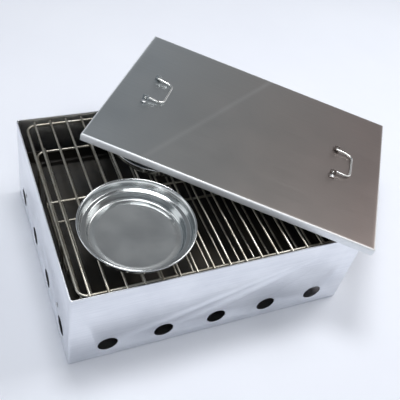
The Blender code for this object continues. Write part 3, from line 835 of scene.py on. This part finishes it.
dishShape = {
    "sheet": 0.0008, "floor": 0.0600, "ledge": 0.0680, "step": 0.0120, "draft": 0.0020, "roll": 0.0013,
    "knuckle": 0.0026, "fold": 0.0012, "beadIn": 0.0500, "beadWide": 0.0030, "beadHigh": 0.0002,
    "sides": 128,
}


def dishRings(rim, height):
    # the dish's inner skin, from under the rolled rim, over it, down both walls and across the floor
    values = dishShape
    sheet, roll, knuckle, fold = values["sheet"], values["roll"], values["knuckle"], values["fold"]
    wallTop = values["ledge"] + values["draft"] - sheet
    curl = roll - sheet
    ledgeLevel = values["step"]
    rings = arc(rim - roll, height - roll, curl + sheet, -75, 150, 12)
    rings += [(wallTop, height - 2 * roll)]
    rings += arc(values["ledge"] - sheet - fold, ledgeLevel + fold, fold, 0, -90, 4)
    rings += arc(values["floor"] + values["draft"] - sheet + fold, ledgeLevel - fold, fold, 90, 180, 4)
    rings += arc(values["floor"] - sheet - knuckle, sheet + knuckle, knuckle, 0, -90, 6)
    bead, wide, high = values["beadIn"], values["beadWide"], values["beadHigh"]
    rings += [(bead + wide, sheet), (bead + wide * 0.5, sheet + high * 0.7), (bead, sheet + high),
              (bead - wide * 0.5, sheet + high * 0.7), (bead - wide, sheet), (0.020, sheet), (0.0004, sheet)]
    return rings


def makeDish(name, node):
    values = dishShape
    low, high = corners(node)
    rings = dishRings((high.x - low.x) / 2, high.z - low.z)
    deselectAll()
    bpy.ops.mesh.primitive_circle_add(vertices=values["sides"], radius=rings[0][0], fill_type='NOTHING',
                                      location=(0, 0, rings[0][1]))
    dish = startPiece(name)
    edit(dish, 'EDGE')
    bpy.ops.mesh.select_all(action='SELECT')
    growRings(rings[0], rings[1:])
    bpy.ops.mesh.merge(type='CENTER')
    bpy.ops.mesh.select_all(action='SELECT')
    bpy.ops.mesh.normals_make_consistent(inside=False)
    leaveEdit()
    flat = max(dish.data.polygons, key=lambda face: -face.center.xy.length)
    applyModifier(dish, 'SOLIDIFY', thickness=values["sheet"], offset=1 if flat.normal.z < 0 else -1,
                  use_even_offset=True)
    smooth(dish, 40)
    centre = midpoint(low, high)
    dish.data.transform(Matrix.Translation((centre.x, centre.y, low.z)))
    steel = makeDishSteel(name + "PressedStainless", centre)
    settle(dish, node, steel, "dish_steel", node)


makeDish("burnerDishA", "burner_dish_a")
makeDish("burnerDishB", "burner_dish_b")
print("dishes made")

rivetValues = {"shank": 0.0015, "head": 0.0032, "dome": 0.0013, "tail": 0.0023, "tailLong": 0.0014,
               "grip": 0.0021, "gap": 0.0003, "pit": 0.0009, "pitDeep": 0.0006, "sides": 32}


def makeRivet():
    # a set blind rivet on the Z axis: its head's seat at z = 0, the mandrel's pit in the dome
    values = rivetValues
    dome, seat, pit, head = values["dome"], values["gap"], values["pit"], values["head"]
    shank, tail, tailLong = values["shank"], values["tail"], values["tailLong"]
    top, tailTop = seat + dome, -values["grip"] - values["gap"]
    profile = [(pit * 0.2, top - values["pitDeep"]), (pit, top - values["pitDeep"]), (pit, top - tiny),
               (pit * 1.25, top)]
    for turn in (60, 42, 24, 10):
        profile.append((head * cos(radians(turn)), seat + dome * (0.2 + 0.8 * sin(radians(turn)))))
    profile += [(head, seat + dome * 0.1), (head * 0.97, seat), (shank, seat), (shank, tailTop),
                (tail * 0.9, tailTop), (tail, tailTop - tailLong * 0.3),
                (tail * 0.85, tailTop - tailLong * 0.75), (shank * 0.8, tailTop - tailLong),
                (0.0002, tailTop - tailLong)]
    deselectAll()
    bpy.ops.mesh.primitive_circle_add(vertices=values["sides"], radius=profile[0][0], fill_type='NGON',
                                      location=(0, 0, profile[0][1]))
    rivet = startPiece("rivet")
    edit(rivet, 'FACE')
    bpy.ops.mesh.select_all(action='SELECT')
    bpy.ops.mesh.delete(type='ONLY_FACE')
    bpy.ops.mesh.select_mode(type='EDGE')
    bpy.ops.mesh.select_all(action='SELECT')
    bpy.ops.mesh.edge_face_add()
    bpy.ops.mesh.select_all(action='SELECT')
    growRings(profile[0], profile[1:])
    leaveEdit()
    edit(rivet, 'EDGE')
    pick(rivet, lambda edge: edge.is_boundary)
    if any(edge.is_boundary for edge in bmesh.from_edit_mesh(rivet.data).edges):
        bpy.ops.mesh.edge_face_add()
    bpy.ops.mesh.select_all(action='SELECT')
    bpy.ops.mesh.normals_make_consistent(inside=False)
    leaveEdit()
    smooth(rivet, 40)
    return rivet


rivetModel = makeRivet()


def makeLedgeRivets():
    for side, name in ((-1, "left"), (1, "right")):
        for end in ("near", "far"):
            node = "ledge_%s_rivet_%s" % (name, end)
            centre = midpoint(*corners(node))
            wall = side * baseSize.x / 2
            place = Matrix.Translation((wall, centre.y, centre.z)) @ Matrix.Rotation(side * pi / 2, 4, 'Y')
            rivet = copyOf(rivetModel, "ledgeRivet" + name.capitalize() + end.capitalize(), place)
            settle(rivet, "base", rivetMetal, "rivet_metal", node)


makeLedgeRivets()

# the lid, modelled flat and square about the middle of its top, then laid in its place
leftHinge, rightHinge = joints["left_bail_turn"], joints["right_bail_turn"]
lidAcross = -Vector(leftHinge["axis"]).normalized()
lidAlong = (Vector(rightHinge["pos_m"]) - Vector(leftHinge["pos_m"])).normalized()
lidUp = lidAlong.cross(lidAcross)
lidShape = {
    "over": 0.0020,               # how far the lid's flange stands outside the base on each side
    "sheet": 0.0008, "bend": 0.0024, "bendSteps": 6, "flange": 0.0105,
    "hemBend": 0.00082, "hemSteps": 5, "hemDrop": 0.0045,
    "panelCuts": 30, "panelEdge": 0.0040, "dent": 0.00016, "dentSize": 0.11, "flatEdge": 0.0200,
    "bailReach": 0.0270, "bailWire": 0.0016, "bailWide": 0.0600, "bailCorner": 0.0100, "hook": 0.0019,
    "axisHigh": 0.0045, "lugSheet": 0.0010, "lugWide": 0.0090, "lugTall": 0.0085, "lugFoot": 0.0105,
    "lugRound": 0.0025, "lugBend": 0.0007, "lugBreak": 0.00012, "eye": 0.0019, "rivetOut": 0.0069,
    "gap": 0.0003, "drillLong": 0.0060,
}
lidCentre = midpoint(*corners("lid_panel")) + lidUp * lidShape["flange"] / 2
lidPlace = Matrix((lidAlong, lidAcross, lidUp)).transposed().to_4x4()
lidPlace.translation = lidCentre
fromLid = lidPlace.inverted()
bailAlong = {"left": (fromLid @ Vector(leftHinge["pos_m"])).x,
             "right": (fromLid @ Vector(rightHinge["pos_m"])).x}
rivetHole = rivetValues["shank"] + lidShape["gap"] / 2


def layFlatMap(piece):
    # a map in metres over the lid's own length and width, for the brushing and the tint
    sheet = piece.data.uv_layers.new(name="sheet")
    for loop in piece.data.loops:
        point = piece.data.vertices[loop.vertex_index].co
        sheet.data[loop.index].uv = (point.x, point.y)


def makeLidPanel():
    values = lidShape
    length, depth = baseSize.x + 2 * values["over"], baseSize.y + 2 * values["over"]
    lid = foldedTray("lidPanel", length, depth, values["flange"], values)
    # the top is divided so that it can lie slightly out of flat, as thin sheet does
    edit(lid, 'FACE')
    pick(lid, lambda face: face.normal.z < -0.9 and face.calc_area() > 0.01)
    bpy.ops.mesh.inset(thickness=values["panelEdge"], depth=0)
    bpy.ops.mesh.subdivide(number_cuts=values["panelCuts"])
    leaveEdit()
    turnRim(lid, length, depth, values["flange"], values)
    ripple = bpy.data.textures.new("sheetRipple", 'CLOUDS')
    ripple.noise_scale = values["dentSize"]
    ripple.noise_depth = 1
    inside = lid.vertex_groups.new(name="panel")
    reachX, reachY = length / 2 - values["flatEdge"], depth / 2 - values["flatEdge"]
    inside.add([vert.index for vert in lid.data.vertices if vert.co.z < tiny
                and abs(vert.co.x) < reachX and abs(vert.co.y) < reachY], 1.0, 'REPLACE')
    applyModifier(lid, 'DISPLACE', texture=ripple, texture_coords='LOCAL', direction='Z', mid_level=0.0,
                  strength=values["dent"], vertex_group="panel")
    lid.vertex_groups.clear()
    thicken(lid, values["sheet"])
    lid.data.transform(Matrix.Rotation(pi, 4, 'X'))
    out = values["bailWide"] / 2 + values["rivetOut"]
    for side in (-1, 1):
        for x in bailAlong.values():
            drill(lid, rivetHole, values["drillLong"], (x, side * out, 0), sides=24)
    smooth(lid, 30)
    layFlatMap(lid)
    lid.data.transform(lidPlace)
    settle(lid, "lid", lidSteel, "lid_steel", "lid_panel")


def makeLug():
    # an ear with its foot: a strip of sheet bent up at its inner end, standing at y = 0 and up
    values = lidShape
    foot, wide, sheet = values["lugFoot"], values["lugWide"], values["lugSheet"]
    deselectAll()
    bpy.ops.mesh.primitive_plane_add(size=wide, location=(0, wide / 2, 0))
    lug = startPiece("lug")
    lug.data.transform(Matrix.Diagonal((1, foot / wide, 1, 1)))
    edit(lug, 'EDGE')
    pick(lug, lambda edge: all(vert.co.y < tiny for vert in edge.verts))
    bpy.ops.mesh.extrude_region()
    bpy.ops.transform.translate(value=(0, 0, values["lugTall"]))
    pick(lug, lambda edge: all(abs(vert.co.y) < tiny and abs(vert.co.z) < tiny for vert in edge.verts))
    bpy.ops.mesh.bevel(offset=values["lugBend"], segments=3, affect='EDGES')
    bpy.ops.mesh.select_mode(type='VERT')
    pick(lug, lambda vert: vert.co.z > values["lugTall"] * 0.9 or vert.co.y > foot * 0.9)
    bpy.ops.mesh.bevel(offset=values["lugRound"], segments=6, affect='VERTICES')
    bpy.ops.mesh.select_all(action='SELECT')
    bpy.ops.mesh.normals_make_consistent(inside=False)
    leaveEdit()
    flat = max(lug.data.polygons, key=lambda face: face.center.y)
    if flat.normal.z < 0:
        turnOver(lug)
    applyModifier(lug, 'SOLIDIFY', thickness=sheet, offset=1, use_even_offset=True)
    drill(lug, values["eye"], values["drillLong"], (0, 0, values["axisHigh"] - values["gap"]), (pi / 2, 0, 0))
    drill(lug, rivetHole, values["drillLong"], (0, values["rivetOut"], 0))
    applyModifier(lug, 'BEVEL', width=values["lugBreak"], segments=2, limit_method='ANGLE',
                  angle_limit=radians(45))
    smooth(lug, 35)
    return lug


def makeLugsAndBails():
    values = lidShape
    lug = makeLug()
    for name, x in bailAlong.items():
        for side, end in ((-1, "near"), (1, "far")):
            turn = Matrix.Rotation(0 if side > 0 else pi, 4, 'Z')
            place = Matrix.Translation((x, side * values["bailWide"] / 2, values["gap"])) @ turn
            ear = copyOf(lug, name + "Lug" + end.capitalize(), place)
            layFlatMap(ear)
            ear.data.transform(lidPlace)
            settle(ear, "lid", lidSteel, "lid_steel", "%s_lug_%s" % (name, end))
            seat = Matrix.Translation((x, side * (values["bailWide"] / 2 + values["rivetOut"]),
                                       values["gap"] + values["lugSheet"]))
            rivet = copyOf(rivetModel, name + "LugRivet" + end.capitalize(), lidPlace @ seat)
            settle(rivet, "lid", rivetMetal, "rivet_metal", "%s_lug_%s_rivet" % (name, end))
        makeBail(name, x)
    for spare in (lug, rivetModel):
        bpy.data.objects.remove(spare, do_unlink=True)


def makeBail(name, x):
    # a loop of wire whose ends hook outwards through the ears; it lies over, its end just off the lid
    values = lidShape
    wire = values["bailWire"]
    reach = values["bailReach"] - wire
    legs = values["bailWide"] - 2 * values["lugSheet"] - 2 * wire
    ends = values["bailWide"] + 2 * values["lugSheet"] + 2 * wire
    bail = wirePath(name + "Bail", reach, legs)
    bail.data.transform(Matrix.Translation((reach / 2, 0, 0)))
    edit(bail, 'EDGE')
    pick(bail, lambda edge: all(vert.co.x < tiny for vert in edge.verts))
    bpy.ops.mesh.delete(type='EDGE')
    bpy.ops.mesh.select_mode(type='VERT')
    for side in (-1, 1):
        pick(bail, lambda vert: vert.co.x < tiny and abs(vert.co.y - side * legs / 2) < tiny)
        bpy.ops.mesh.extrude_region()
        bpy.ops.transform.translate(value=(0, side * (ends - legs) / 2, 0))
    leaveEdit()
    roundCorners(bail, lambda vert: vert.co.x > reach * 0.9, values["bailCorner"], 9)
    roundCorners(bail, lambda vert: vert.co.x < tiny and abs(abs(vert.co.y) - legs / 2) < 2 * tiny,
                 values["hook"], 4)
    bail = asWire(bail, wire, 4)
    droop = (values["axisHigh"] - wire - values["gap"]) / reach
    place = Matrix.Translation((x, 0, values["axisHigh"])) @ Matrix.Rotation(droop, 4, 'Y')
    bail.data.transform(lidPlace @ place)
    settle(bail, name + "_bail", brightWire, "bail_wire", name + "_bail")


makeLidPanel()
makeLugsAndBails()
print("lid made")

# the rails that carry the pan keep their CAD shape
for node in ("ledge_left", "ledge_right"):
    rail = frame["nodes"][node]
    for slot in rail.material_slots:
        slot.material = rolledSteel

# floor, light and camera
stageValues = {
    "floorSize": 14.0, "floorLevel": -0.0003, "floorCloud": 0.333,       # metres
    "floorColours": [(0.3, "#ECEFF8"), (0.7, "#F0F3FB")], "floorRoughness": 0.85, "floorIor": 1.45,
    "centre": (0.085, 0.058, 0.080),       # what the lamps look at
    "horizon": "#F7F9FD", "aboveLeft": "#7E858B", "aboveRight": "#777270",
    "horizonHeight": 0.10, "aboveHeight": 0.42, "aboveSpan": (-0.2, 0.9),
    # each softbox: the way to it, how far off it is, its side and its power in watts
    "lamps": {
        "rightKey": ((0.52, 0.02, 0.85), 1.75, 0.70, 10.5),
        "backKey": ((-0.08, 0.13, 0.99), 1.75, 0.50, 12.5),
        "left": ((-0.85, 0.20, 0.48), 1.60, 0.60, 2.0),
        "right": ((0.85, -0.10, 0.50), 1.60, 0.80, 3.0),
        "front": ((-0.28, -0.48, 0.83), 1.60, 0.60, 2.8),
    },
}
cameraValues = {
    "place": (-0.3048, -0.5341, 0.7466),
    "heading": 31.8,        # degrees clockwise from +Y, seen from above
    "down": 46.3,           # degrees below level
    "roll": 14.0,           # degrees
    "lens": 57.2,
    "shift": (0.0, 0.0),
}


def makeStage():
    values = stageValues
    deselectAll()
    bpy.ops.mesh.primitive_plane_add(size=values["floorSize"], location=(0, 0, values["floorLevel"]))
    floor = startPiece("floor")
    # matt painted board: pale, with hardly any cloudiness
    material, tree = newMaterial("palePaintedBoard")
    where = addNode(tree, "TexCoord", {}).outputs["Object"]
    clouds = addNode(tree, "TexNoise", {"Vector": where, "Scale": 1 / values["floorCloud"], "Detail": 3.0})
    colour = addNode(tree, "ValToRGB", {"Fac": clouds}, values["floorColours"])
    shader = addNode(tree, "BsdfPrincipled", {"Base Color": colour, "Roughness": values["floorRoughness"],
                                              "IOR": values["floorIor"]})
    addNode(tree, "OutputMaterial", {"Surface": shader})
    floor.data.materials.append(material)

    # a dim room, pale low down all round, so that the steel has light and dark to reflect
    world = bpy.data.worlds.new("softStudio")
    scene.world = world
    world.use_nodes = True
    tree = world.node_tree
    tree.nodes.clear()
    way = addNode(tree, "TexCoord", {}).outputs["Generated"]
    way = addNode(tree, "SeparateXYZ", {"Vector": way})
    left, right = values["aboveSpan"]
    side = addNode(tree, "MapRange", {"Value": way.outputs["X"], "From Min": left, "From Max": right})
    above = addNode(tree, "Mix", {"Factor": side, "A": toLinear(values["aboveLeft"]),
                                  "B": toLinear(values["aboveRight"])}, data_type='RGBA')
    rise = addNode(tree, "MapRange", {"Value": way.outputs["Z"], "From Min": values["horizonHeight"],
                                      "From Max": values["aboveHeight"]})
    sky = addNode(tree, "Mix", {"Factor": rise, "A": toLinear(values["horizon"]), "B": above},
                  data_type='RGBA')
    glow = addNode(tree, "Background", {"Color": sky})
    addNode(tree, "OutputWorld", {"Surface": glow})

    for name, (way, distance, size, power) in values["lamps"].items():
        data = bpy.data.lights.new(name + "Softbox", 'AREA')
        data.shape = 'SQUARE'
        data.size = size
        data.energy = power
        lamp = bpy.data.objects.new(name + "Softbox", data)
        way = Vector(way).normalized()
        lamp.location = Vector(values["centre"]) + way * distance
        lamp.rotation_euler = way.to_track_quat('Z', 'Y').to_euler()
        scene.collection.objects.link(lamp)
    scene.view_settings.view_transform = 'Standard'


def makeCamera():
    values = cameraValues
    data = bpy.data.cameras.new("camera")
    data.lens = values["lens"]
    data.sensor_width = 36
    data.shift_x, data.shift_y = values["shift"]
    data.clip_start = 0.01
    camera = bpy.data.objects.new("camera", data)
    turn = (Matrix.Rotation(-radians(values["heading"]), 4, 'Z')
            @ Matrix.Rotation(pi / 2 - radians(values["down"]), 4, 'X')
            @ Matrix.Rotation(radians(values["roll"]), 4, 'Z'))
    camera.matrix_world = Matrix.Translation(values["place"]) @ turn
    scene.collection.objects.link(camera)
    scene.camera = camera


makeStage()
makeCamera()
deselectAll()
print("scene ready")
